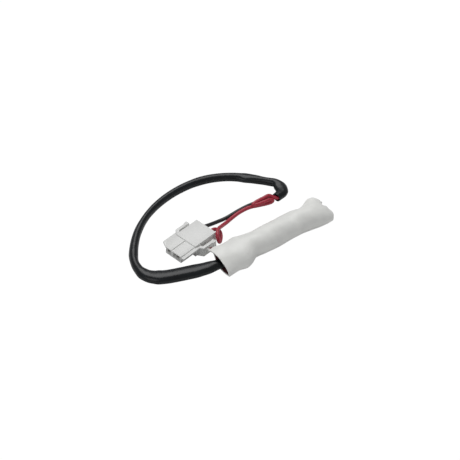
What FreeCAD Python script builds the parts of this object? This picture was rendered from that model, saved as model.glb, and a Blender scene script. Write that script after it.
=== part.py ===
import FreeCAD, Part
import math
import os
import Sketcher

# A pellet thermal fuse in a white soft sleeve. Its two insulated leads leave the
# sleeve's mouth inside a soft black tube, loop back, and end in a two-way plug.
# All lengths are in millimetres. +X runs along the sleeve, +Z is up, and the floor is z = 0.

V = FreeCAD.Vector
doc = FreeCAD.newDocument("thermal_fuse")
sheet = doc.addObject("Spreadsheet::Sheet", "sizes")

table = [
    ("sleeve_length", 66.5, "white sleeve, mouth to far end"),
    ("sleeve_width", 12.4, "width at the middle"),
    ("sleeve_height", 11.6, "height at the middle"),
    ("sleeve_wall", 0.8, "wall of the soft sleeve"),
    ("sleeve_sink", 0.2, "depth of the flat worn by lying on the floor"),
    ("sleeve_aside", 1.0, "how far the far part lies to the side of the mouth"),
    ("fuse_aside", -2.9, "fuse axis, sideways"),
    ("fuse_high", 4.3, "fuse axis above the floor"),
    ("case_radius", 2.0, "outside of the metal case"),
    ("case_wall", 0.35, "case wall"),
    ("case_end", 0.5, "closed end of the case"),
    ("case_start", -3.0, "rolled lip of the case"),
    ("case_length", 11.0, "case, lip to closed end"),
    ("lead_radius", 0.5, "bare leads of the fuse"),
    ("lead_head_radius", 0.8, "contact head on the isolated lead"),
    ("lead_head", 0.3, "thickness of the contact head"),
    ("bushing_length", 2.05, "wide part of the ceramic bushing"),
    ("bushing_nose", 1.35, "nose of the bushing through the lip"),
    ("bushing_nose_radius", 1.0, "radius of that nose"),
    ("slack", 0.05, "running room inside the case"),
    ("seal_length", 3.0, "epoxy cone over the lip"),
    ("disc_thickness", 0.3, "spring discs"),
    ("star_thickness", 0.25, "star contact"),
    ("star_slot", 0.5, "width of the slots between its fingers"),
    ("trip_length", 1.65, "trip spring"),
    ("trip_radius", 1.2, "trip spring, to the middle of its wire"),
    ("barrel_length", 2.8, "barrel spring"),
    ("barrel_radius", 1.35, "barrel spring, to the middle of its wire"),
    ("spring_wire", 0.25, "spring wire, across"),
    ("pellet_length", 2.8, "wax pellet"),
    ("liner_radius", 2.7, "clear tube over the fuse"),
    ("liner_wall", 0.45, "its wall"),
    ("liner_start", -8.9, "its end towards the mouth"),
    ("liner_length", 19.9, "its length"),
    ("return_aside", 1.9, "returning case lead, sideways"),
    ("return_high", 2.95, "returning case lead, above the floor"),
    ("turn_far", 16.5, "where the case lead turns back"),
    ("turn_radius", 2.2, "bend of the case lead"),
    ("splice_start", -15.0, "splice end towards the mouth"),
    ("splice_length", 5.8, "splice ferrule"),
    ("splice_radius", 1.2, "outside of the ferrule"),
    ("splice_dent", 0.2, "depth of the two crimp marks"),
    ("strand_radius", 0.5, "stranded copper core"),
    ("strand_length", 3.55, "stripped end in the splice"),
    ("bare_copper", 0.75, "copper that shows beside the splice"),
    ("wire_radius", 0.95, "insulated lead"),
    ("lead_pitch", 1.94, "red to black, side by side in the tube"),
    ("tube_radius", 2.2, "black tube"),
    ("tube_high", 3.8, "tube axis inside the sleeve's mouth"),
    ("plug_turn", 9.0, "plug, turned from the sleeve's axis"),
    ("plug_x", -36.45, "front of the plug's block"),
    ("plug_y", 20.5, "middle of the plug"),
    ("block_length", 14.0, "block that holds the cells"),
    ("block_half", 6.45, "half its width"),
    ("block_high", 6.5, "its height"),
    ("nose_length", 9.3, "nose in front of the block"),
    ("nose_half", 6.1, "half its width"),
    ("nose_floor", 2.1, "underside of the nose"),
    ("nose_top", 6.1, "top of the nose"),
    ("key_cut", 2.3, "length of the keying corner"),
    ("key_deep", 1.9, "its depth"),
    ("rail_out", 1.9, "rails beside the nose"),
    ("rail_thick", 1.1, "their thickness"),
    ("rail_drop", 0.4, "below the nose top"),
    ("rail_back", 1.0, "how far they run onto the block"),
    ("arm_out", 9.6, "outside of the latch arms"),
    ("arm_thick", 1.5, "latch arm"),
    ("arm_back", 10.5, "where the arm ends"),
    ("arm_low", 0.3, "underside of the arm"),
    ("arm_high", 5.2, "height of the arm"),
    ("arm_pad", 0.5, "finger pad"),
    ("cell_half_pitch", 3.05, "half the cell pitch"),
    ("cell_high", 4.1, "contact axis above the floor"),
    ("cell_front_half", 2.3, "front opening, half width"),
    ("cell_front_high", 1.4, "front opening, half height"),
    ("cell_back_half", 2.1, "rear opening, half width"),
    ("cell_back_high", 1.8, "rear opening, half height"),
    ("cell_back_deep", 12.5, "rear opening, depth"),
    ("groove_half", 0.5, "groove between the two silos, half width"),
    ("groove_deep", 0.4, "its depth"),
    ("contact_radius", 1.1, "contact barrel"),
    ("contact_bore", 0.8, "its bore, for the mating pin"),
    ("contact_length", 6.9, "depth of that bore"),
    ("contact_back", 1.0, "contact mouth behind the nose front"),
    ("contact_seam", 0.4, "seam along the barrel"),
    ("neck_radius", 0.75, "contact neck and core crimp"),
    ("core_start", 2.0, "where the core crimp starts"),
    ("core_end", 5.5, "where it ends"),
    ("grip_start", 6.0, "insulation grip"),
    ("grip_end", 8.4, "its end"),
    ("grip_radius", 1.3, "its outside"),
    ("grip_bore", 1.06, "its inside"),
    ("wire_end", 5.8, "where the insulation ends in the plug"),
]
for row, (name, value, words) in enumerate(table, 1):
    sheet.set("A%d" % row, name)
    sheet.set("B%d" % row, str(value))
    sheet.set("C%d" % row, words)
    sheet.setAlias("B%d" % row, name)
doc.recompute()


def size(name):
    return float(sheet.get(name))


made = []


def keep(part, label):
    part.Label = label
    made.append(part)
    return part


def sketchOn(body, name, role, lift=None):
    sketch = body.newObject("Sketcher::SketchObject", name)
    plane = [item for item in body.Origin.OriginFeatures if item.Role == role][0]
    sketch.AttachmentSupport = [(plane, "")]
    sketch.MapMode = "FlatFace"
    if lift:
        sketch.setExpression("AttachmentOffset.Base.z", lift)
    return sketch


def outline(body, name, role, corners, lift=None):
    # A closed outline. Each corner is a pair of formulas of the sheet's sizes.
    sketch = sketchOn(body, name, role, lift)
    count = len(corners)
    spots = []
    for k in range(count):
        angle = 2 * math.pi * k / count
        spots.append(V(3 * math.cos(angle), 3 * math.sin(angle), 0))
    for k in range(count):
        sketch.addGeometry(Part.LineSegment(spots[k], spots[(k + 1) % count]), False)
    for k in range(count):
        sketch.addConstraint(Sketcher.Constraint("Coincident", k, 2, (k + 1) % count, 1))
    for k, (across, up) in enumerate(corners):
        spot = spots[k]
        i = sketch.addConstraint(Sketcher.Constraint("DistanceX", -1, 1, k, 1, spot.x))
        j = sketch.addConstraint(Sketcher.Constraint("DistanceY", -1, 1, k, 1, spot.y))
        sketch.setExpression("Constraints[%d]" % i, across)
        sketch.setExpression("Constraints[%d]" % j, up)
    return sketch


def turned(body, name, corners, cut=False):
    # A solid of revolution around the body's own X axis.
    sketch = outline(body, name + "_outline", "XY_Plane", corners)
    kind = "PartDesign::Groove" if cut else "PartDesign::Revolution"
    feature = body.newObject(kind, name)
    feature.Profile = sketch
    feature.ReferenceAxis = (sketch, ["H_Axis"])
    feature.Angle = 360
    return feature


def raised(body, name, role, corners, length, lift=None, both=False, kind="Pad", back=False):
    sketch = outline(body, name + "_outline", role, corners, lift)
    feature = body.newObject("PartDesign::" + kind, name)
    feature.Profile = sketch
    feature.setExpression("Length", length)
    feature.Midplane = both
    feature.Reversed = back
    return feature


def box(x1, x2, y1, y2):
    return [(x1, y1), (x2, y1), (x2, y2), (x1, y2)]


def fuseBody(label):
    # A body that lies on the fuse's axis.
    body = doc.addObject("PartDesign::Body", label + "_body")
    body.setExpression("Placement.Base.y", "sizes.fuse_aside")
    body.setExpression("Placement.Base.z", "sizes.fuse_high")
    return keep(body, label)


def plugBody(label):
    body = doc.addObject("PartDesign::Body", label + "_body")
    body.Placement = FreeCAD.Placement(V(0, 0, 0), FreeCAD.Rotation(V(0, 0, 1), size("plug_turn")))
    body.setExpression("Placement.Base.x", "sizes.plug_x")
    body.setExpression("Placement.Base.y", "sizes.plug_y")
    return keep(body, label)


# The white sleeve: eight oval sections. The mouth is pinched wide and rolled a little,
# and the far end is pressed flat. Each oval has flats as fine as a mesh of the part needs.
# share of length, shift aside, half width, centre height, half height, roll
ovals = [
    (-0.5, 0.0, 0.6855, 0.3966, 0.3534, 12),
    (-0.406, -0.3, 0.6129, 0.4310, 0.4138, 8),
    (-0.2857, -0.7, 0.5403, 0.4741, 0.4655, 3),
    (-0.1053, -1.0, 0.5040, 0.5, 0.5, 0),
    (0.1353, -1.0, 0.5, 0.5, 0.4957, 0),
    (0.3158, -1.0, 0.5081, 0.4397, 0.4397, 0),
    (0.4361, -1.0, 0.5323, 0.3362, 0.3362, 0),
    (0.5, -1.0, 0.5403, 0.2543, 0.2543, 0),
]
flats = 32
along = FreeCAD.Rotation(V(1, 1, 1), 120)


def ovalRing(name, oval, inset):
    share, aside, wide, centre, high, roll = oval
    across = size("sleeve_width") * wide - inset
    up = size("sleeve_height") * high - inset
    middle = V(
        size("sleeve_length") * share,
        size("sleeve_aside") * aside,
        size("sleeve_height") * centre - size("sleeve_sink"))
    place = FreeCAD.Placement(middle, FreeCAD.Rotation(V(1, 0, 0), roll).multiply(along))
    spots = []
    for k in range(flats + 1):
        angle = 2 * math.pi * k / flats
        spots.append(place.multVec(V(across * math.cos(angle), up * math.sin(angle), 0)))
    ring = doc.addObject("Part::Feature", name)
    ring.Shape = Part.makePolygon(spots)
    return ring


def sleeveSkin(name, inset):
    skin = doc.addObject("Part::Loft", name)
    skin.Sections = [ovalRing("%s_%d" % (name, k), oval, inset) for k, oval in enumerate(ovals)]
    skin.Solid = True
    skin.Ruled = False
    return skin


sleeve_outside = sleeveSkin("sleeve_outside", 0)
sleeve_inside = sleeveSkin("sleeve_inside", size("sleeve_wall"))
sleeve_hollow = doc.addObject("Part::Cut", "sleeve_hollow")
sleeve_hollow.Base = sleeve_outside
sleeve_hollow.Tool = sleeve_inside
floor_block = doc.addObject("Part::Box", "floor_block")
floor_block.setExpression("Length", "sizes.sleeve_length * 2")
floor_block.setExpression("Width", "sizes.sleeve_width * 3")
floor_block.Height = 5
floor_block.setExpression("Placement.Base.x", "-sizes.sleeve_length")
floor_block.setExpression("Placement.Base.y", "-sizes.sleeve_width * 1.5")
floor_block.Placement.Base.z = -5
sleeve = doc.addObject("Part::Cut", "sleeve_cut")
sleeve.Base = sleeve_hollow
sleeve.Tool = floor_block
keep(sleeve, "vinyl_sleeve")

# The clear tube that insulates the fuse from the returning lead.
liner = fuseBody("inner_tube")
turned(liner, "liner_ring", box(
    "sizes.liner_start", "sizes.liner_start + sizes.liner_length",
    "sizes.liner_radius - sizes.liner_wall", "sizes.liner_radius"))

# Stations along the fuse axis, from the rolled lip to the closed end.
lip = "sizes.case_start"
far = "(sizes.case_start + sizes.case_length)"
seat = "(sizes.case_start + sizes.case_wall)"
bush_end = "(sizes.case_start + sizes.case_wall + sizes.bushing_length)"
star_at = "(sizes.case_start + sizes.case_wall + sizes.bushing_length + sizes.trip_length)"
front_at = "(%s + sizes.star_thickness)" % star_at
barrel_at = "(%s + sizes.disc_thickness)" % front_at
rear_at = "(%s + sizes.barrel_length)" % barrel_at
pellet_at = "(%s + sizes.disc_thickness)" % rear_at
pellet_end = "(%s - sizes.case_end)" % far
bore = "(sizes.case_radius - sizes.case_wall)"
inner = "(sizes.case_radius - sizes.case_wall - sizes.slack)"

case = fuseBody("fuse_case")
turned(case, "case_shell", [
    (far, "sizes.lead_radius"),
    (far, "sizes.case_radius - 0.3"),
    (far + " - 0.3", "sizes.case_radius"),
    (lip + " + 0.3", "sizes.case_radius"),
    (lip, "sizes.case_radius - 0.3"),
    (lip, "sizes.bushing_nose_radius + sizes.slack"),
    (seat, "sizes.bushing_nose_radius + sizes.slack"),
    (seat, bore),
    (pellet_end, bore),
    (pellet_end, "sizes.lead_radius")])

bushing = fuseBody("ceramic_bushing")
turned(bushing, "bushing_ring", [
    (bush_end, "sizes.lead_radius"),
    (bush_end, inner),
    (seat, inner),
    (seat, "sizes.bushing_nose_radius"),
    (seat + " - sizes.bushing_nose", "sizes.bushing_nose_radius"),
    (seat + " - sizes.bushing_nose", "sizes.lead_radius")])

seal = fuseBody("epoxy_seal")
turned(seal, "seal_cone", [
    (lip, "sizes.bushing_nose_radius"),
    (lip, "sizes.case_radius - 0.32"),
    (lip + " - 0.35", "sizes.case_radius - 0.4"),
    (lip + " - sizes.seal_length", "sizes.lead_radius + 0.25"),
    (lip + " - sizes.seal_length", "sizes.lead_radius"),
    (seat + " - sizes.bushing_nose", "sizes.lead_radius"),
    (seat + " - sizes.bushing_nose", "sizes.bushing_nose_radius")])

splice_mid = "(sizes.splice_start + sizes.splice_length / 2)"
isolated = fuseBody("isolated_lead")
turned(isolated, "lead_pin", [
    (splice_mid + " + 0.1", "0"),
    (splice_mid + " + 0.1", "sizes.lead_radius"),
    (star_at + " - sizes.lead_head", "sizes.lead_radius"),
    (star_at + " - sizes.lead_head", "sizes.lead_head_radius"),
    (star_at, "sizes.lead_head_radius"),
    (star_at, "0")])

star = fuseBody("star_contact")
turned(star, "star_disc", [
    (star_at, "0"), (star_at, bore), (front_at, bore), (front_at, "0")])
slot = raised(star, "star_slot", "YZ_Plane", box(
    "sizes.case_radius * 0.55", "sizes.case_radius * 1.5",
    "-sizes.star_slot / 2", "sizes.star_slot / 2"),
    "sizes.star_thickness * 4", lift=star_at, both=True, kind="Pocket")
slots = star.newObject("PartDesign::PolarPattern", "star_slots")
slots.Originals = [slot]
slots.Axis = (slot.Profile[0], ["N_Axis"])
slots.Angle = 360
slots.Occurrences = 6
star.Tip = slots

for label, start in (("spring_disc_front", front_at), ("spring_disc_rear", rear_at)):
    disc = fuseBody(label)
    turned(disc, label + "_plate", [
        (start, "0"), (start, inner),
        (start + " + sizes.disc_thickness", inner), (start + " + sizes.disc_thickness", "0")])

pellet = fuseBody("thermal_pellet")
turned(pellet, "pellet_slug", [
    (pellet_at, "0"), (pellet_at, inner), (pellet_end, inner), (pellet_end, "0")])


def spring(label, start, length, radius, turns):
    body = fuseBody(label)
    half = "sizes.spring_wire / 2"
    section = outline(body, label + "_section", "XY_Plane", box(
        start, start + " + sizes.spring_wire", radius + " - " + half, radius + " + " + half))
    coil = body.newObject("PartDesign::AdditiveHelix", label + "_coil")
    coil.Profile = section
    coil.ReferenceAxis = (section, ["H_Axis"])
    coil.Mode = 2
    coil.Turns = turns
    coil.setExpression("Height", length + " - sizes.spring_wire")
    return coil


spring("trip_spring", bush_end, "sizes.trip_length", "sizes.trip_radius", 3)
spring("barrel_spring", barrel_at, "sizes.barrel_length", "sizes.barrel_radius", 4)

# Splice ferrules, one on the fuse's axis and one on the returning lead.
mid = splice_mid
start = "sizes.splice_start"
end = "(sizes.splice_start + sizes.splice_length)"
skin = "sizes.splice_radius"
dent = "(sizes.splice_radius - sizes.splice_dent)"
for label in ("crimp_red", "crimp_black"):
    ferrule = fuseBody(label)
    if label == "crimp_black":
        ferrule.setExpression("Placement.Base.y", "sizes.return_aside")
        ferrule.setExpression("Placement.Base.z", "sizes.return_high")
    turned(ferrule, label + "_ring", [
        (start, "sizes.lead_radius"), (start, skin),
        (mid + " - 1.7", skin), (mid + " - 1.5", dent),
        (mid + " - 0.9", dent), (mid + " - 0.7", skin),
        (mid + " + 0.7", skin), (mid + " + 0.9", dent),
        (mid + " + 1.5", dent), (mid + " + 1.7", skin),
        (end, skin), (end, "sizes.lead_radius")])

# The plug's housing, in its own frame: x runs to the rear, y to its left, z up.
plug = plugBody("plug_housing")
raised(plug, "block", "XY_Plane", box(
    "0", "sizes.block_length", "-sizes.block_half", "sizes.block_half"), "sizes.block_high")
raised(plug, "nose", "XY_Plane", [
    ("0.5", "-sizes.nose_half"),
    ("-sizes.nose_length", "-sizes.nose_half"),
    ("-sizes.nose_length", "sizes.nose_half - sizes.key_deep"),
    ("sizes.key_cut - sizes.nose_length", "sizes.nose_half"),
    ("0.5", "sizes.nose_half")],
    "sizes.nose_top - sizes.nose_floor", lift="sizes.nose_floor")
rail_low = "sizes.nose_top - sizes.rail_drop - sizes.rail_thick"
raised(plug, "rail_right", "XY_Plane", box(
    "-sizes.nose_length", "sizes.rail_back",
    "-sizes.nose_half - sizes.rail_out", "-sizes.nose_half + 0.3"),
    "sizes.rail_thick", lift=rail_low)
raised(plug, "rail_left", "XY_Plane", [
    ("sizes.key_cut - sizes.nose_length + 0.4", "sizes.nose_half - 0.3"),
    ("sizes.rail_back", "sizes.nose_half - 0.3"),
    ("sizes.rail_back", "sizes.nose_half + sizes.rail_out"),
    ("sizes.key_cut - sizes.nose_length + 1.6", "sizes.nose_half + sizes.rail_out")],
    "sizes.rail_thick", lift=rail_low)
for side, sign in (("left", ""), ("right", "-1 * ")):
    raised(plug, "arm_" + side, "XY_Plane", [
        ("0.6", sign + "(sizes.block_half - 0.3)"),
        ("2.6", sign + "sizes.arm_out"),
        ("sizes.arm_back - 2.2", sign + "sizes.arm_out"),
        ("sizes.arm_back - 1.7", sign + "(sizes.arm_out + sizes.arm_pad)"),
        ("sizes.arm_back", sign + "(sizes.arm_out + sizes.arm_pad)"),
        ("sizes.arm_back", sign + "(sizes.arm_out - sizes.arm_thick)"),
        ("3.5", sign + "(sizes.arm_out - sizes.arm_thick)"),
        ("2.5", sign + "(sizes.block_half - 0.3)")],
        "sizes.arm_high", lift="sizes.arm_low")
cell_low = "sizes.cell_high - sizes.cell_front_high"
cell_top = "sizes.cell_high + sizes.cell_front_high"
back_low = "sizes.cell_high - sizes.cell_back_high"
back_top = "sizes.cell_high + sizes.cell_back_high"
for side, sign in (("left", ""), ("right", "-")):
    middle = sign + "sizes.cell_half_pitch"
    raised(plug, "cell_front_" + side, "YZ_Plane", box(
        middle + " - sizes.cell_front_half", middle + " + sizes.cell_front_half", cell_low, cell_top),
        "sizes.nose_length + 1", lift="-sizes.nose_length - 1", kind="Pocket", back=True)
    raised(plug, "cell_back_" + side, "YZ_Plane", box(
        middle + " - sizes.cell_back_half", middle + " + sizes.cell_back_half", back_low, back_top),
        "sizes.cell_back_deep", lift="sizes.block_length", kind="Pocket")
    ring = sketchOn(plug, "web_circle_" + side, "YZ_Plane", "-1")
    at = size("cell_half_pitch") if side == "left" else -size("cell_half_pitch")
    ring.addGeometry(Part.Circle(V(at, 3, 0), V(0, 0, 1), 1), False)
    ring.addConstraint(Sketcher.Constraint("DistanceX", -1, 1, 0, 3, at))
    ring.addConstraint(Sketcher.Constraint("DistanceY", -1, 1, 0, 3, 3.0))
    ring.addConstraint(Sketcher.Constraint("Radius", 0, 1.0))
    ring.setExpression("Constraints[0]", middle)
    ring.setExpression("Constraints[1]", "sizes.cell_high")
    ring.setExpression("Constraints[2]", "sizes.neck_radius")
    web = plug.newObject("PartDesign::Pocket", "web_hole_" + side)
    web.Profile = ring
    web.setExpression("Length", "sizes.block_length - sizes.cell_back_deep + 2")
    web.Reversed = True
raised(plug, "groove", "XY_Plane", box(
    "-sizes.nose_length - 1", "-0.4", "-sizes.groove_half", "sizes.groove_half"),
    "sizes.groove_deep + 1", lift="sizes.nose_top + 1", kind="Pocket")

# The two contacts, each formed from one piece of sheet.
mouth = "(sizes.contact_back - sizes.nose_length)"
for label, sign in (("terminal_red", "-"), ("terminal_black", "")):
    contact = plugBody(label)
    turn = math.radians(size("plug_turn"))
    side = -1 if sign else 1
    contact.setExpression(
        "Placement.Base.x",
        "sizes.plug_x - %d * sizes.cell_half_pitch * sin(sizes.plug_turn * 1deg)" % side)
    contact.setExpression(
        "Placement.Base.y",
        "sizes.plug_y + %d * sizes.cell_half_pitch * cos(sizes.plug_turn * 1deg)" % side)
    contact.setExpression("Placement.Base.z", "sizes.cell_high")
    turned(contact, label + "_barrel", [
        (mouth, "sizes.contact_bore"),
        (mouth, "sizes.contact_radius"),
        (mouth + " + sizes.contact_length + 0.4", "sizes.contact_radius"),
        ("-0.2", "sizes.neck_radius"),
        ("sizes.core_end", "sizes.neck_radius"),
        ("sizes.core_end", "sizes.strand_radius"),
        ("sizes.core_start", "sizes.strand_radius"),
        ("sizes.core_start", "0"),
        (mouth + " + sizes.contact_length", "0"),
        (mouth + " + sizes.contact_length", "sizes.contact_bore")])
    raised(contact, label + "_strip", "XZ_Plane", [
        ("sizes.core_end - 1.3", "-sizes.neck_radius + 0.15"),
        ("sizes.core_end - 1.3", "-sizes.grip_radius"),
        ("sizes.grip_end", "-sizes.grip_radius"),
        ("sizes.grip_end", "-sizes.grip_bore"),
        ("sizes.core_end + 0.2", "-sizes.grip_bore"),
        ("sizes.core_end", "-sizes.neck_radius + 0.15")],
        "0.9", both=True)
    turned(contact, label + "_grip", box(
        "sizes.grip_start", "sizes.grip_end", "sizes.grip_bore", "sizes.grip_radius"))
    raised(contact, label + "_seam", "XY_Plane", box(
        mouth + " - 1", mouth + " + sizes.contact_length - 0.2",
        "-sizes.contact_seam / 2", "sizes.contact_seam / 2"),
        "sizes.contact_radius + 0.5", lift="sizes.contact_radius + 0.5", kind="Pocket")


def bends(points):
    # The bend at each corner is 0.45 of its shorter run, so no two bends meet.
    out = []
    for a, b, c in zip(points, points[1:], points[2:]):
        u = b - a
        v = c - b
        out.append(0.45 * min(u.Length, v.Length) / math.tan(u.getAngle(v) / 2))
    return out


def routed(points, radius, radii):
    edges = []
    last = points[0]
    for k in range(1, len(points) - 1):
        u = (points[k] - points[k - 1]).normalize()
        v = (points[k + 1] - points[k]).normalize()
        turn = u.getAngle(v)
        bend = radii[k - 1]
        reach = bend * math.tan(turn / 2)
        first = points[k] - u * reach
        second = points[k] + v * reach
        middle = points[k] + (v - u).normalize() * (bend / math.cos(turn / 2) - bend)
        edges.append(Part.LineSegment(last, first).toShape())
        edges.append(Part.Arc(first, middle, second).toShape())
        last = second
    edges.append(Part.LineSegment(last, points[-1]).toShape())
    path = Part.Wire(edges)
    facing = (points[1] - points[0]).normalize()
    section = Part.Face(Part.Wire([Part.Circle(points[0], facing, radius).toShape()]))
    solid = path.makePipe(section)
    expected = path.Length * math.pi * radius * radius
    return solid, path.Length, abs(solid.Volume - expected) / expected


def cord(label, stretches, radius):
    solids = []
    total = 0
    for points in stretches:
        radii = bends(points)
        solid, length, error = routed(points, radius, radii)
        total += length
        solids.append(solid)
        print(label, "length %.1f" % length, "volume error %.5f" % error,
              "bends", " ".join("%.1f" % r for r in radii))
    feature = doc.addObject("Part::Feature", label + "_solid")
    feature.Shape = solids[0] if len(solids) == 1 else Part.makeCompound(solids)
    return keep(feature, label)


def inPlug(u, w, z):
    turn = math.radians(size("plug_turn"))
    x = size("plug_x") + u * math.cos(turn) - w * math.sin(turn)
    y = size("plug_y") + u * math.sin(turn) + w * math.cos(turn)
    return V(x, y, z)


rest = size("tube_radius")
high = size("tube_high")
half = size("lead_pitch") / 2
fuse_y = size("fuse_aside")
fuse_z = size("fuse_high")
back_y = size("return_aside")
back_z = size("return_high")

# The case lead leaves the closed end, turns back and runs beside the fuse to its splice.
lead_end = size("splice_start") + size("splice_length") / 2 + 0.1
case_far = size("case_start") + size("case_length") - size("case_end")
lead_points = [
    V(case_far, fuse_y, fuse_z),
    V(size("turn_far"), fuse_y, fuse_z),
    V(size("turn_far"), back_y, back_z),
    V(lead_end, back_y, back_z),
]
lead_solid, lead_length, lead_error = routed(
    lead_points, size("lead_radius"), [size("turn_radius")] * 2)
case_lead = doc.addObject("Part::Feature", "case_lead_solid")
case_lead.Shape = lead_solid
keep(case_lead, "case_lead")

# The black tube: out of the mouth, round to the left, back above the sleeve, and a fold.
tube_points = [
    V(-25.2, -0.3, high), V(-28.7, -0.3, high), V(-33.8, 1.4, high), V(-38.3, 2.9, rest),
    V(-47.6, 6.0, rest), V(-58.2, 10.4, rest), V(-63.5, 16.8, rest), V(-63.1, 26.3, rest),
    V(-57.2, 35.6, rest), V(-47.2, 45.2, rest), V(-33.7, 53.2, rest), V(-17.7, 57.2, rest),
    V(-1.7, 56.4, rest), V(10.8, 50.2, rest), V(19.4, 41.6, rest), V(25.2, 33.6, rest),
    V(28.0, 28.9, rest), V(28.2, 24.9, rest), V(25.8, 22.0, rest), V(22.2, 21.3, rest),
]
cord("black_tube", [tube_points], size("tube_radius"))

# Each lead shows in two stretches: from its splice to the tube, and from the tube to the plug.
wire_from = size("splice_start") - size("bare_copper")
tube_in = tube_points[0]
tube_out = tube_points[-1]
heading = (tube_points[-1] - tube_points[-2]).normalize()
left = V(-heading.y, heading.x, 0)
red_start = tube_out + left * half
black_start = tube_out - left * half
wire_end = size("wire_end")
cell = size("cell_half_pitch")
cell_z = size("cell_high")
red_inside = [
    V(wire_from, fuse_y, fuse_z), V(-19.4, fuse_y, fuse_z),
    V(-22.8, tube_in.y - half, high), V(tube_in.x, tube_in.y - half, high),
]
red_outside = [
    red_start, red_start + heading * 1.5,
    V(17.4, 20.4, 3.9), V(9.4, 23.3, 3.0), V(0.3, 24.6, 1.8), V(-8.8, 23.2, 1.7),
    V(-14.2, 20.4, 4.3), V(-18.6, 17.6, 5.9), V(-21.8, 13.7, 5.7), V(-21.1, 12.8, 1.15),
    V(-17.7, 15.9, 1.0), V(-15.8, 19.3, 1.9), V(-18.7, 21.0, 3.7),
    inPlug(13.4, 0.25 - cell, cell_z + 0.1), inPlug(9.2, -cell, cell_z), inPlug(wire_end, -cell, cell_z),
]
black_inside = [
    V(wire_from, back_y, back_z), V(-19.4, back_y, back_z),
    V(-22.8, tube_in.y + half, high), V(tube_in.x, tube_in.y + half, high),
]
black_outside = [
    black_start, black_start + heading * 1.6,
    V(14.8, 23.8, 1.05), V(6.3, 26.4, 1.1), V(-3.2, 27.0, 1.2), V(-11.2, 25.6, 2.2),
    inPlug(19.0, cell, 3.8), inPlug(14.0, cell - 0.15, 4.15), inPlug(9.2, cell, cell_z),
    inPlug(wire_end, cell, cell_z),
]
cord("red_wire", [red_inside, red_outside], size("wire_radius"))
cord("black_wire", [black_inside, black_outside], size("wire_radius"))

# The stripped copper ends, one in the splice and one in the contact.
for label, side, y, z in (("red_strands", -1, fuse_y, fuse_z), ("black_strands", 1, back_y, back_z)):
    in_splice = Part.makeCylinder(
        size("strand_radius"), size("strand_length"), V(wire_from, y, z), V(1, 0, 0))
    tip = inPlug(wire_end, side * cell, cell_z)
    forward = inPlug(0, 0, 0) - inPlug(1, 0, 0)
    in_contact = Part.makeCylinder(
        size("strand_radius"), wire_end - size("core_start") - 0.1, tip, forward)
    strands = doc.addObject("Part::Feature", label + "_solid")
    strands.Shape = Part.makeCompound([in_splice, in_contact])
    keep(strands, label)

doc.recompute()

for item in doc.Objects:
    if "Invalid" in item.State or "Error" in item.State:
        raise RuntimeError("broken: " + item.Name)
os.makedirs("parts", exist_ok=True)
for part in made:
    if part.Shape.isNull() or not part.Shape.isValid():
        raise RuntimeError("bad shape: " + part.Label)
    part.Shape.exportStep("parts/%s.step" % part.Label)
    print(part.Label, len(part.Shape.Solids), "solids", "%.2f" % part.Shape.Volume, "mm3")
print(len(made), "pieces")
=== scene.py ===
import math
import bpy
from mathutils import Matrix, Vector
from mathutils.kdtree import KDTree


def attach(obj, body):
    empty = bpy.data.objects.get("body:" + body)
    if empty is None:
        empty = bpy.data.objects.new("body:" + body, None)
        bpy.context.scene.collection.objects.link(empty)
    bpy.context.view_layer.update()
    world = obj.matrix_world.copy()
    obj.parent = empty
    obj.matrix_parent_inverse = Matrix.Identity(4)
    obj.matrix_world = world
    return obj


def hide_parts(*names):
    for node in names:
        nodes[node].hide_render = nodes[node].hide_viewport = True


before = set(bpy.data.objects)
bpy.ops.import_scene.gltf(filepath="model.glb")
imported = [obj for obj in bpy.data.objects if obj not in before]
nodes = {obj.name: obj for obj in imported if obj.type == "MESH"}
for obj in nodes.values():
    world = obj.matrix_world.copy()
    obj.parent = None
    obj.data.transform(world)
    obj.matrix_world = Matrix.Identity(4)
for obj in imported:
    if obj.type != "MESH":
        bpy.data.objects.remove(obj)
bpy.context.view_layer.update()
scene = bpy.context.scene
scene.view_settings.view_transform = "Standard"
print("frame loaded")

# Camera: it looks down on the part from its front left.
camera = {
    "place": (-0.23571, -0.27081, 0.34176),
    "tilt": 47.0,
    "turn": -37.8,
    "lens": 80.0,
}
cameraData = bpy.data.cameras.new("camera")
cameraData.lens = camera["lens"]
cameraData.sensor_width = 36
cameraData.clip_start = 0.01
cameraObject = bpy.data.objects.new("camera", cameraData)
cameraObject.location = camera["place"]
cameraObject.rotation_euler = (math.radians(camera["tilt"]), 0, math.radians(camera["turn"]))
scene.collection.objects.link(cameraObject)
scene.camera = cameraObject


def alone(piece):
    bpy.ops.object.select_all(action="DESELECT")
    piece.select_set(True)
    bpy.context.view_layer.objects.active = piece


def applyModifiers(piece):
    alone(piece)
    for modifier in list(piece.modifiers):
        bpy.ops.object.modifier_apply(modifier=modifier.name)


def smoothShade(piece, angle=40):
    alone(piece)
    bpy.ops.object.shade_smooth_by_angle(angle=math.radians(angle))


def easeStep(value, low, high):
    share = min(1.0, max(0.0, (value - low) / (high - low)))
    return share * share * (3 - 2 * share)


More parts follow.
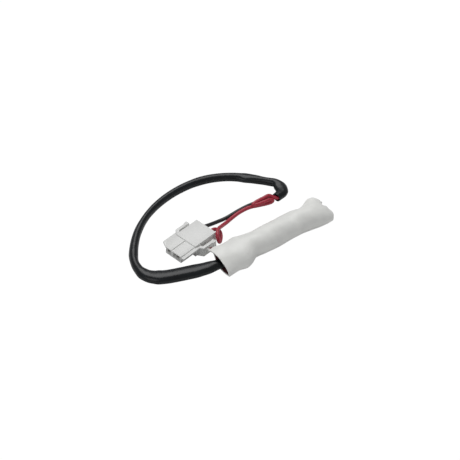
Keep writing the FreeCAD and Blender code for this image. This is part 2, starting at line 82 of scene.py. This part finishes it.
# Materials
def mottleGroup():
    # Soft patches of lighter and darker colour, and the height of fine wrinkles.
    group = bpy.data.node_groups.new("softMottle", "ShaderNodeTree")
    group.interface.new_socket("Light", in_out="INPUT", socket_type="NodeSocketColor")
    group.interface.new_socket("Dark", in_out="INPUT", socket_type="NodeSocketColor")
    group.interface.new_socket("Scale", in_out="INPUT", socket_type="NodeSocketFloat")
    group.interface.new_socket("Color", in_out="OUTPUT", socket_type="NodeSocketColor")
    group.interface.new_socket("Height", in_out="OUTPUT", socket_type="NodeSocketFloat")
    entry = group.nodes.new("NodeGroupInput")
    leave = group.nodes.new("NodeGroupOutput")
    place = group.nodes.new("ShaderNodeTexCoord")
    patches = group.nodes.new("ShaderNodeTexNoise")
    patches.inputs["Detail"].default_value = 3
    spread = group.nodes.new("ShaderNodeMapRange")
    spread.inputs["From Min"].default_value = 0.35
    spread.inputs["From Max"].default_value = 0.65
    mix = group.nodes.new("ShaderNodeMix")
    mix.data_type = "RGBA"
    link = group.links.new
    link(place.outputs["Object"], patches.inputs["Vector"])
    link(entry.outputs["Scale"], patches.inputs["Scale"])
    link(patches.outputs["Fac"], spread.inputs["Value"])
    link(spread.outputs["Result"], mix.inputs["Factor"])
    link(entry.outputs["Dark"], mix.inputs[6])
    link(entry.outputs["Light"], mix.inputs[7])
    link(mix.outputs[2], leave.inputs["Color"])
    link(patches.outputs["Fac"], leave.inputs["Height"])
    return group


mottle = mottleGroup()


def finish(name, color, rough, metal=0.0, coat=0.0, dark=None, scale=180.0, bump=0.0):
    material = bpy.data.materials.new(name)
    material.use_nodes = True
    tree = material.node_tree
    shader = tree.nodes["Principled BSDF"]
    shader.inputs["Base Color"].default_value = (*color, 1)
    shader.inputs["Roughness"].default_value = rough
    shader.inputs["Metallic"].default_value = metal
    shader.inputs["Coat Weight"].default_value = coat
    if dark:
        patches = tree.nodes.new("ShaderNodeGroup")
        patches.node_tree = mottle
        patches.inputs["Light"].default_value = (*color, 1)
        patches.inputs["Dark"].default_value = (*dark, 1)
        patches.inputs["Scale"].default_value = scale
        tree.links.new(patches.outputs["Color"], shader.inputs["Base Color"])
        if bump:
            relief = tree.nodes.new("ShaderNodeBump")
            relief.inputs["Strength"].default_value = bump
            relief.inputs["Distance"].default_value = 0.001
            tree.links.new(patches.outputs["Height"], relief.inputs["Height"])
            tree.links.new(relief.outputs["Normal"], shader.inputs["Normal"])
    return material


sleeveVinyl = finish(
    "sleeveVinyl", (0.86, 0.86, 0.825), 0.42, dark=(0.80, 0.80, 0.77), scale=170, bump=0.35)
# Painted shade: the sleeve's inner wall is coloured dark maroon in place of the shadow inside the
# sleeve.
sleevePaintedShade = finish(
    "sleevePaintedShade", (0.16, 0.05, 0.055), 0.6, dark=(0.10, 0.02, 0.03), scale=220, bump=0.2)
tubeBlack = finish(
    "tubeBlack", (0.005, 0.0075, 0.0095), 0.27, dark=(0.002, 0.003, 0.004), scale=260, bump=0.16)
tubeBlack.node_tree.nodes["Principled BSDF"].inputs["Specular IOR Level"].default_value = 0.36
redSkin = finish("redSkin", (0.40, 0.018, 0.042), 0.4, coat=0.15)
blackSkin = finish("blackSkin", (0.01, 0.01, 0.012), 0.4, coat=0.15)
plugNylon = finish(
    "plugNylon", (0.77, 0.77, 0.75), 0.38, dark=(0.73, 0.73, 0.715), scale=90, bump=0.05)
cadFinishes = {
    "inner_tube": finish("linerClear", (0.78, 0.8, 0.79), 0.2),
    "fuse_case": finish("caseBrass", (0.78, 0.6, 0.32), 0.28, 1.0),
    "case_lead": finish("leadTin", (0.72, 0.72, 0.7), 0.3, 1.0),
    "ceramic_bushing": finish("ceramicWhite", (0.88, 0.86, 0.82), 0.4),
    "epoxy_seal": finish("epoxyAmber", (0.4, 0.22, 0.06), 0.25, coat=0.4),
    "trip_spring": finish("springSteel", (0.55, 0.55, 0.56), 0.3, 1.0),
    "star_contact": finish("contactSilver", (0.86, 0.86, 0.84), 0.2, 1.0),
    "thermal_pellet": finish("pelletWax", (0.7, 0.65, 0.5), 0.6),
    "crimp_red": finish("spliceTin", (0.7, 0.7, 0.68), 0.32, 1.0),
    "red_strands": finish("strandCopper", (0.8, 0.42, 0.25), 0.3, 1.0),
    "terminal_red": finish("terminalTin", (0.62, 0.6, 0.56), 0.32, 1.0),
}
sameFinish = {
    "isolated_lead": "case_lead",
    "spring_disc_front": "trip_spring",
    "spring_disc_rear": "trip_spring",
    "barrel_spring": "trip_spring",
    "crimp_black": "crimp_red",
    "black_strands": "red_strands",
    "terminal_black": "terminal_red",
}
for name, node in nodes.items():
    look = cadFinishes.get(sameFinish.get(name, name))
    if look:
        node.material_slots[0].material = look
print("materials made")

# The black tube's route, nearly as in the part's source. Twist is how far the two leads in it
# are turned about each other, in degrees, at each point.
tube = {
    "radius": 0.0022,
    "wall": 0.00025,
    "length": 0.175,
    "flatten": 0.16,
    "creaseDeep": 0.0005,
    "creaseAt": -0.42,
    "creaseWidth": 0.14,
    "route": [
        (-0.0252, -0.0006, 0.0036), (-0.0287, -0.0006, 0.0036), (-0.0338, 0.0009, 0.0035),
        (-0.0383, 0.0026, 0.0026), (-0.0476, 0.0060, 0.0026), (-0.0582, 0.0104, 0.0026),
        (-0.0634, 0.0168, 0.0024), (-0.0626, 0.0263, 0.0022), (-0.0568, 0.0353, 0.0022),
        (-0.0472, 0.0452, 0.0022), (-0.0337, 0.0531, 0.0022), (-0.0177, 0.0569, 0.0022),
        (-0.0018, 0.0561, 0.0022), (0.0108, 0.0502, 0.0022), (0.0194, 0.0416, 0.0022),
        (0.0252, 0.0336, 0.0022), (0.0281, 0.0304, 0.0022), (0.0271, 0.0247, 0.0022),
        (0.0253, 0.0223, 0.0022), (0.0206, 0.0216, 0.0022),
    ],
    "twist": [0, 0, 0, 0, 0, 0, 0, 20, 55, 90, 90, 90, 60, 20, 0, 0, 0, 0, 0, 0],
    # how far along, then the share of the width and of the height
    "profile": [
        (0.000, 1.00, 1.00), (0.006, 1.12, 1.03), (0.013, 1.55, 1.14), (0.019, 1.74, 1.17),
        (0.033, 1.74, 1.17), (0.036, 1.84, 1.12), (0.0385, 1.64, 1.10), (0.043, 1.42, 1.06),
        (0.048, 1.06, 1.00), (0.053, 0.95, 1.00), (0.058, 1.04, 1.00), (0.064, 0.99, 1.00),
        (0.073, 0.89, 1.00), (0.083, 0.78, 1.02), (0.088, 0.76, 1.02), (0.094, 0.82, 1.00),
        (0.104, 0.86, 1.00), (0.118, 0.93, 1.00), (0.124, 1.04, 1.00), (0.138, 1.02, 1.00),
        (0.144, 1.10, 1.00), (0.1475, 1.42, 0.94), (0.152, 1.20, 0.98), (0.158, 0.90, 1.00),
        (0.1625, 1.00, 1.00), (0.1675, 1.52, 0.94), (0.172, 1.36, 0.94), (0.176, 1.12, 1.00),
        (0.180, 1.10, 1.00),
    ],
}
lead = {"radius": 0.00095, "pitch": 0.00194}
plug = {
    "front": (-0.03645, 0.0205),
    "turn": math.radians(9),
    "cell": 0.00305,
    "high": 0.0041,
    "wireEnd": 0.0058,
    "edge": 0.00018,
    "webCorners": [(-0.0046, 0.0080), (-0.0073, 0.0080), (-0.0090, 0.0043), (-0.0060, 0.0056)],
    "webLow": 0.00464,
    "webHigh": 0.00566,
}


def inPlug(u, w, z):
    cosTurn = math.cos(plug["turn"])
    sinTurn = math.sin(plug["turn"])
    x = plug["front"][0] + u * cosTurn - w * sinTurn
    y = plug["front"][1] + u * sinTurn + w * cosTurn
    return (x, y, z)


def besideRoute(route, twist, aside):
    # The same route moved sideways, so that both leads keep their distance in every bend.
    moved = []
    for k, spot in enumerate(route):
        before = Vector(route[max(0, k - 1)][:2])
        after = Vector(route[min(len(route) - 1, k + 1)][:2])
        here = Vector(spot[:2])
        first = (here - before).normalized() if k else (after - here).normalized()
        second = (after - here).normalized() if k < len(route) - 1 else first
        sideOne = Vector((-first.y, first.x))
        sideTwo = Vector((-second.y, second.x))
        mitre = (sideOne + sideTwo) / (1 + sideOne.dot(sideTwo))
        turn = math.radians(twist[k])
        level = mitre * aside * math.cos(turn)
        moved.append((here.x + level.x, here.y + level.y, spot[2] + aside * math.sin(turn)))
    return moved


redRoute = [(-0.01575, -0.0029, 0.0043), (-0.0194, -0.0029, 0.0043), (-0.0228, -0.00127, 0.0038)]
redRoute += besideRoute(tube["route"], tube["twist"], lead["pitch"] / 2)
redRoute += [
    (0.0190, 0.0221, 0.0030), (0.0174, 0.0238, 0.0041), (0.0138, 0.0236, 0.0040),
    (0.0098, 0.0240, 0.0038), (0.0066, 0.0237, 0.0032), (0.0090, 0.0225, 0.0030),
    (0.0135, 0.0220, 0.0031), (0.0166, 0.0218, 0.0030), (0.0184, 0.0212, 0.0020),
    (0.0172, 0.0213, 0.0010), (0.0138, 0.0223, 0.0010), (0.0098, 0.0235, 0.0012),
    (0.0061, 0.0246, 0.0016), (0.0017, 0.0248, 0.0017), (-0.0031, 0.0244, 0.0017),
    (-0.0105, 0.0225, 0.0018), (-0.0148, 0.0206, 0.0034), (-0.0192, 0.0180, 0.0059),
    (-0.0224, 0.0142, 0.0057), (-0.0217, 0.0133, 0.00115), (-0.0183, 0.0164, 0.0010),
    (-0.0164, 0.0198, 0.0019), (-0.0190, 0.0212, 0.0037),
    inPlug(0.0134, -0.0028, 0.0042), inPlug(0.0092, -0.00305, 0.0041),
    inPlug(plug["wireEnd"], -plug["cell"], plug["high"]),
]
blackRoute = [(-0.01575, 0.0019, 0.00295), (-0.0194, 0.0019, 0.00295), (-0.0228, 0.00067, 0.0038)]
blackRoute += besideRoute(tube["route"], tube["twist"], -lead["pitch"] / 2)
blackRoute += [
    (0.0188, 0.0236, 0.0013), (0.0170, 0.0248, 0.0010), (0.0138, 0.0258, 0.0010),
    (0.0103, 0.0260, 0.0010), (0.0063, 0.0265, 0.0010), (0.0018, 0.0266, 0.0010),
    (-0.0020, 0.0264, 0.0010), (-0.0080, 0.0259, 0.0010), (-0.0134, 0.0263, 0.0012),
    (-0.0187, 0.0257, 0.0026), inPlug(0.0150, 0.0024, 0.0038),
    inPlug(0.0115, 0.0030, 0.0041), inPlug(0.0092, 0.00305, 0.0041),
    inPlug(plug["wireEnd"], plug["cell"], plug["high"]),
]


def smoothCurve(name, route, thickness, material):
    data = bpy.data.curves.new(name, "CURVE")
    data.dimensions = "3D"
    spline = data.splines.new("NURBS")
    spline.points.add(len(route) - 1)
    for spot, place in zip(spline.points, route):
        spot.co = (*place, 1)
    spline.order_u = 3
    spline.use_endpoint_u = True
    data.resolution_u = 8
    data.render_resolution_u = 8
    data.bevel_depth = thickness
    data.bevel_resolution = 5
    data.use_fill_caps = bool(thickness)
    if material:
        data.materials.append(material)
    curve = bpy.data.objects.new(name, data)
    scene.collection.objects.link(curve)
    return curve


def lineOf(route):
    guide = smoothCurve("guide", route, 0, None)
    bpy.context.view_layer.update()
    mesh = bpy.data.meshes.new_from_object(guide)
    line = [vertex.co.copy() for vertex in mesh.vertices]
    bpy.data.objects.remove(guide)
    return line


def lengthOf(line):
    return sum((b - a).length for a, b in zip(line, line[1:]))


redLead = smoothCurve("redLead", redRoute, lead["radius"], redSkin)
blackLead = smoothCurve("blackLead", blackRoute, lead["radius"], blackSkin)
redLength = lengthOf(lineOf(redRoute))
blackLength = lengthOf(lineOf(blackRoute))
print("leads laid", round(redLength, 4), round(blackLength, 4))


def shareAt(profile, along):
    for start, end in zip(profile, profile[1:]):
        if along <= end[0]:
            step = easeStep(along, start[0], end[0])
            return [a + (b - a) * step for a, b in zip(start[1:], end[1:])]
    return profile[-1][1:]


def makeTube():
    line = lineOf(tube["route"])
    reach = [0.0]
    for before, after in zip(line, line[1:]):
        reach.append(reach[-1] + (after - before).length)
    piece = smoothCurve("blackTube", tube["route"], tube["radius"], tubeBlack)
    piece.data.use_fill_caps = False
    alone(piece)
    bpy.ops.object.convert(target="MESH")
    piece = bpy.context.view_layer.objects.active
    tree = KDTree(len(line))
    for k, spot in enumerate(line):
        tree.insert(spot, k)
    tree.balance()
    for vertex in piece.data.vertices:
        spot, k, gap = tree.find(vertex.co)
        ahead = line[min(k + 1, len(line) - 1)] - line[max(k - 1, 0)]
        side = Vector((-ahead.y, ahead.x, 0)).normalized()
        wide, tall = shareAt(tube["profile"], reach[k])
        offset = vertex.co - spot
        across = offset.dot(side)
        # A widened stretch is flat on top, with a crease along the loop's inner side.
        slack = easeStep(wide, 1.2, 1.6)
        top = offset.z * tall
        share = across / tube["radius"]
        if top > 0:
            fromCrease = (share - tube["creaseAt"]) / tube["creaseWidth"]
            top -= slack * tube["flatten"] * top * easeStep(abs(share + 0.1), 0.75, 0.0)
            top -= slack * tube["creaseDeep"] * math.exp(-fromCrease ** 2)
        vertex.co += side * across * (wide - 1) + Vector((0, 0, top - offset.z))
    wall = piece.modifiers.new("wall", "SOLIDIFY")
    wall.thickness = tube["wall"]
    wall.offset = -1
    applyModifiers(piece)
    smoothShade(piece, 60)
    print("tube made", round(lengthOf(line), 4))
    return piece, line


blackTube, tubeLine = makeTube()

# The white sleeve: ovals from the mouth to the far end.
sleeve = {
    "wall": 0.0008,
    "around": 72,
    "edge": 0.0002,
    "middleHigh": 0.0048,
    "mouthReach": (0.0240, 0.0322),
    "farReach": (0.0285, 0.0328),
    # depth, place round the end in radians, width
    "notches": [(0.0017, 2.0, 0.22), (0.0009, 1.45, 0.15)],
    # along, aside, centre height, half width, half height, roll
    "ovals": [
        (-0.0322, 0.0002, 0.0045, 0.0087, 0.0042, 9),
        (-0.0292, 0.0001, 0.0048, 0.0086, 0.0046, 8),
        (-0.0260, -0.0008, 0.0053, 0.0080, 0.0051, 7),
        (-0.0225, -0.0014, 0.0056, 0.0086, 0.0055, 4),
        (-0.0192, -0.0006, 0.0057, 0.0086, 0.0057, 2),
        (-0.0150, -0.0003, 0.0058, 0.0070, 0.0058, 0),
        (-0.0095, -0.0013, 0.0058, 0.0067, 0.0058, 0),
        (0.0030, -0.00135, 0.0058, 0.00655, 0.0058, 0),
        (0.0090, -0.0014, 0.0058, 0.0065, 0.0058, 0),
        (0.0140, -0.0015, 0.0058, 0.0066, 0.0058, 0),
        (0.0190, -0.0026, 0.0058, 0.0066, 0.0058, 0),
        (0.0230, -0.0027, 0.0058, 0.0075, 0.0058, 0),
        (0.0275, -0.0016, 0.0055, 0.0087, 0.0055, 0),
        (0.0305, -0.0012, 0.0049, 0.0086, 0.0049, 0),
        (0.0319, -0.0010, 0.0043, 0.0084, 0.0043, 0),
    ],
}


def makeSleeve():
    loops = []
    for x, y, z, wide, high, roll in sleeve["ovals"]:
        angle = math.radians(roll)
        across = Vector((0, math.cos(angle), math.sin(angle)))
        upward = Vector((0, -math.sin(angle), math.cos(angle)))
        along = Vector((1, 0, 0))
        facing = Matrix((across, upward, along)).transposed().to_euler()
        bpy.ops.mesh.primitive_circle_add(
            vertices=sleeve["around"], radius=1, location=(x, y, z), rotation=facing)
        loop = bpy.context.view_layer.objects.active
        loop.scale = (wide, high, 1)
        loops.append(loop)
    bpy.ops.object.select_all(action="DESELECT")
    for loop in loops:
        loop.select_set(True)
    bpy.context.view_layer.objects.active = loops[0]
    bpy.ops.object.join()
    piece = bpy.context.view_layer.objects.active
    piece.name = "vinylSleeve"
    bpy.ops.object.transform_apply(location=True, rotation=True, scale=True)
    bpy.ops.object.mode_set(mode="EDIT")
    bpy.ops.mesh.select_all(action="SELECT")
    bpy.ops.mesh.bridge_edge_loops(
        type="SINGLE", number_cuts=4, interpolation="SURFACE", smoothness=0.6)
    bpy.ops.mesh.select_all(action="SELECT")
    bpy.ops.mesh.normals_make_consistent(inside=False)
    bpy.ops.object.mode_set(mode="OBJECT")
    for vertex in piece.data.vertices:
        spot = vertex.co
        angle = math.atan2(spot.z - sleeve["middleHigh"], spot.y)
        # The mouth is cut askew, its underside set back and pressed up beside the tube.
        mouthShare = easeStep(-spot.x, *sleeve["mouthReach"])
        under = easeStep(0.0046 + 0.2 * spot.y - spot.z, -0.001, 0.0035)
        beside = easeStep(spot.y, 0.0020, 0.0060)
        spot.z += mouthShare * under * beside * 0.62 * (0.0088 + 0.1 * spot.y - spot.z)
        spot.x += mouthShare * (under * 0.0011 - 0.0003)
        # The far end is cut roughly.
        farShare = easeStep(spot.x, *sleeve["farReach"])
        rough = 0.00030 * math.sin(5 * angle) + 0.00028 * math.sin(11 * angle + 1)
        notch = sum(
            deep * math.exp(-((angle - place) / width) ** 2)
            for deep, place, width in sleeve["notches"])
        spot.x += farShare * (rough - 0.0004 - notch)
        # Soft dents, as in a sleeve that was handled.
        dent = 0.00016 * math.sin(210 * spot.x + 2 * angle)
        dent += 0.00012 * math.sin(390 * spot.x - 3 * angle)
        spot.y += dent * math.cos(angle)
        spot.z += dent * math.sin(angle)
        spot.z = max(spot.z, 0.00005)
    wall = piece.modifiers.new("wall", "SOLIDIFY")
    wall.thickness = sleeve["wall"]
    wall.offset = -1
    # The inner faces take the second material, the painted shade of the sleeve's inside.
    wall.material_offset = 1
    edge = piece.modifiers.new("edge", "BEVEL")
    edge.width = sleeve["edge"]
    edge.segments = 2
    edge.limit_method = "ANGLE"
    piece.data.materials.append(sleeveVinyl)
    piece.data.materials.append(sleevePaintedShade)
    applyModifiers(piece)
    smoothShade(piece, 50)
    print("sleeve made", len(piece.data.vertices))
    return piece


vinylSleeve = makeSleeve()


# The plug: the CAD housing with its moulded edges rounded.
def makePlug():
    node = nodes["plug_housing"]
    piece = node.copy()
    piece.data = node.data.copy()
    piece.name = "plugShell"
    piece.parent = None
    piece.matrix_world = Matrix.Identity(4)
    for key in list(piece.keys()):
        del piece[key]
    scene.collection.objects.link(piece)
    alone(piece)
    bpy.ops.object.mode_set(mode="EDIT")
    bpy.ops.mesh.select_all(action="SELECT")
    bpy.ops.mesh.remove_doubles(threshold=0.000002)
    bpy.ops.mesh.dissolve_limited(angle_limit=math.radians(2))
    bpy.ops.object.mode_set(mode="OBJECT")
    edge = piece.modifiers.new("edge", "BEVEL")
    edge.width = plug["edge"]
    edge.segments = 2
    edge.limit_method = "ANGLE"
    edge.angle_limit = math.radians(35)
    applyModifiers(piece)
    # The web that ties the far rail to the keyed corner of the nose.
    bpy.ops.object.select_all(action="DESELECT")
    bpy.ops.mesh.primitive_cube_add(size=1, location=(0, 0, 0))
    web = bpy.context.view_layer.objects.active
    order = {(1, 1): 0, (-1, 1): 1, (-1, -1): 2, (1, -1): 3}
    for vertex in web.data.vertices:
        corner = order[(round(vertex.co.x * 2), round(vertex.co.y * 2))]
        u, w = plug["webCorners"][corner]
        vertex.co = inPlug(u, w, plug["webHigh"] if vertex.co.z > 0 else plug["webLow"])
    edge = web.modifiers.new("edge", "BEVEL")
    edge.width = plug["edge"]
    edge.segments = 2
    applyModifiers(web)
    bpy.ops.object.select_all(action="DESELECT")
    web.select_set(True)
    piece.select_set(True)
    bpy.context.view_layer.objects.active = piece
    bpy.ops.object.join()
    smoothShade(piece, 30)
    piece.data.materials.clear()
    piece.data.materials.append(plugNylon)
    print("plug made", len(piece.data.vertices))
    return piece


plugShell = makePlug()

# Who rides on what, and what each piece stands for.
pieceFacts = [
    (vinylSleeve, "vinyl_sleeve", "sleeve_vinyl"),
    (blackTube, "black_tube", "black_soft_tube"),
    (redLead, "red_wire", "red_insulation"),
    (blackLead, "black_wire", "black_insulation"),
    (plugShell, "plug_housing", "plug_nylon"),
]
for piece, node, slotName in pieceFacts:
    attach(piece, "root")
    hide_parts(node)
print("pieces ride")


# Floor, light and background
studio = {
    "floorSize": 6,
    "floorGlow": 1.03,
    "glowShare": 0.985,
    "skyStrength": 0.36,
    # name, place, target, width, power
    "lights": [
        ("topBack", (0.12, 0.28, 0.52), (-0.01, 0.02, 0), 0.5, 1.9),
        ("leftFill", (-0.5, -0.1, 0.35), (-0.02, 0.02, 0), 0.4, 0.4),
    ],
}


def makeFloor():
    bpy.ops.object.select_all(action="DESELECT")
    bpy.ops.mesh.primitive_plane_add(size=studio["floorSize"], location=(0, 0, 0))
    floor = bpy.context.view_layer.objects.active
    floor.name = "floor"
    material = bpy.data.materials.new("floorWhite")
    material.use_nodes = True
    tree = material.node_tree
    shader = tree.nodes["Principled BSDF"]
    shader.inputs["Base Color"].default_value = (0.85, 0.85, 0.85, 1)
    shader.inputs["Roughness"].default_value = 0.9
    shader.inputs["Specular IOR Level"].default_value = 0.1
    glow = tree.nodes.new("ShaderNodeEmission")
    glow.inputs["Color"].default_value = (1, 1, 1, 1)
    glow.inputs["Strength"].default_value = studio["floorGlow"]
    ray = tree.nodes.new("ShaderNodeLightPath")
    share = tree.nodes.new("ShaderNodeMath")
    share.operation = "MULTIPLY"
    share.inputs[1].default_value = studio["glowShare"]
    mix = tree.nodes.new("ShaderNodeMixShader")
    tree.links.new(ray.outputs["Is Camera Ray"], share.inputs[0])
    tree.links.new(share.outputs[0], mix.inputs[0])
    tree.links.new(shader.outputs[0], mix.inputs[1])
    tree.links.new(glow.outputs[0], mix.inputs[2])
    tree.links.new(mix.outputs[0], tree.nodes["Material Output"].inputs["Surface"])
    floor.data.materials.append(material)


def makeWorld():
    world = bpy.data.worlds.new("studio")
    scene.world = world
    world.use_nodes = True
    tree = world.node_tree
    back = tree.nodes["Background"]
    back.inputs["Color"].default_value = (0.97, 0.98, 1.0, 1)
    back.inputs["Strength"].default_value = studio["skyStrength"]
    white = tree.nodes.new("ShaderNodeBackground")
    white.inputs["Color"].default_value = (1, 1, 1, 1)
    white.inputs["Strength"].default_value = 1.0
    ray = tree.nodes.new("ShaderNodeLightPath")
    mix = tree.nodes.new("ShaderNodeMixShader")
    tree.links.new(ray.outputs["Is Camera Ray"], mix.inputs[0])
    tree.links.new(back.outputs[0], mix.inputs[1])
    tree.links.new(white.outputs[0], mix.inputs[2])
    tree.links.new(mix.outputs[0], tree.nodes["World Output"].inputs["Surface"])


def softLight(name, place, target, width, power):
    data = bpy.data.lights.new(name, "AREA")
    data.shape = "DISK"
    data.size = width
    data.energy = power
    lamp = bpy.data.objects.new(name, data)
    lamp.location = place
    lamp.rotation_euler = (Vector(target) - Vector(place)).to_track_quat("-Z", "Y").to_euler()
    scene.collection.objects.link(lamp)


makeFloor()
makeWorld()
for lamp in studio["lights"]:
    softLight(*lamp)
print("light set")
